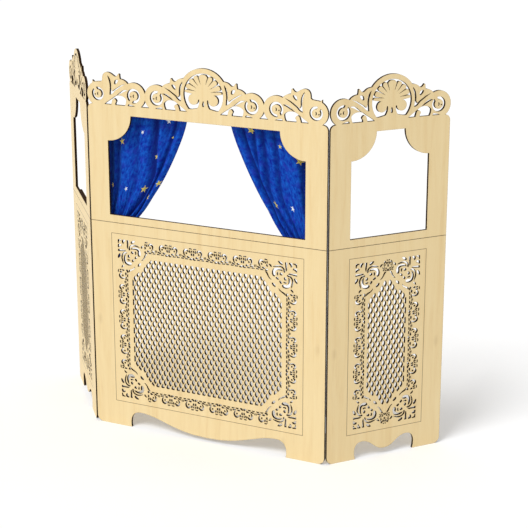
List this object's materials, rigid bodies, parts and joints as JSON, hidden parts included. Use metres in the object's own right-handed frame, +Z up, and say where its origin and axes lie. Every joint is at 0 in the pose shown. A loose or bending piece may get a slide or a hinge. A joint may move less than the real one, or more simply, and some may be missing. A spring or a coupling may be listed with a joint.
{
  "type": "puppet theater stand",
  "caption": "Folding plywood puppet theater screen: a wide centre panel with a curtained stage window and two windowed wings, with pierced lattices and scrolled crests.",
  "frame": {"origin": "centre of the overall box at floor level, with the wings folded back by 50 degrees", "axes": "+X along the width of the centre panel, +Y from the audience's side towards the puppeteer's side, +Z up"},
  "size_m": [1.6552, 0.391, 1.484],
  "materials": {
    "plywood": "sanded pale plywood faces, laser-browned edges",
    "beech": "smooth oiled beech",
    "zinc_steel": "zinc plated, satin",
    "blue_cotton": "plain woven cotton with small printed stars"
  },
  "bodies": {
    "centre": {"centre_lower_board": "plywood", "centre_upper_board": "plywood", "centre_batten": "plywood", "curtain_rod": "beech", "left_lower_hinge_centre_leaf": "zinc_steel", "left_lower_hinge_pin": "zinc_steel", "left_middle_hinge_centre_leaf": "zinc_steel", "left_middle_hinge_pin": "zinc_steel", "left_upper_hinge_centre_leaf": "zinc_steel", "left_upper_hinge_pin": "zinc_steel", "left_rod_bracket": "beech", "left_curtain": "blue_cotton", "left_curtain_strap": "blue_cotton", "right_lower_hinge_centre_leaf": "zinc_steel", "right_lower_hinge_pin": "zinc_steel", "right_middle_hinge_centre_leaf": "zinc_steel", "right_middle_hinge_pin": "zinc_steel", "right_upper_hinge_centre_leaf": "zinc_steel", "right_upper_hinge_pin": "zinc_steel", "right_rod_bracket": "beech", "right_curtain": "blue_cotton", "right_curtain_strap": "blue_cotton"},
    "left_wing": {"left_wing_lower_board": "plywood", "left_wing_upper_board": "plywood", "left_wing_batten": "plywood", "left_lower_hinge_wing_leaf": "zinc_steel", "left_middle_hinge_wing_leaf": "zinc_steel", "left_upper_hinge_wing_leaf": "zinc_steel"},
    "right_wing": {"right_wing_lower_board": "plywood", "right_wing_upper_board": "plywood", "right_wing_batten": "plywood", "right_lower_hinge_wing_leaf": "zinc_steel", "right_middle_hinge_wing_leaf": "zinc_steel", "right_upper_hinge_wing_leaf": "zinc_steel"}
  },
  "joints": [
    {"name": "left_wing_fold", "type": "hinge", "parent": "centre", "child": "left_wing", "pos_m": [-0.5003, -0.18548, 0.66], "axis": [0, 0, -1], "range_deg": [-50, 85]},
    {"name": "right_wing_fold", "type": "hinge", "parent": "centre", "child": "right_wing", "pos_m": [0.5003, -0.18548, 0.66], "axis": [0, 0, 1], "range_deg": [-50, 85]}
  ]
}
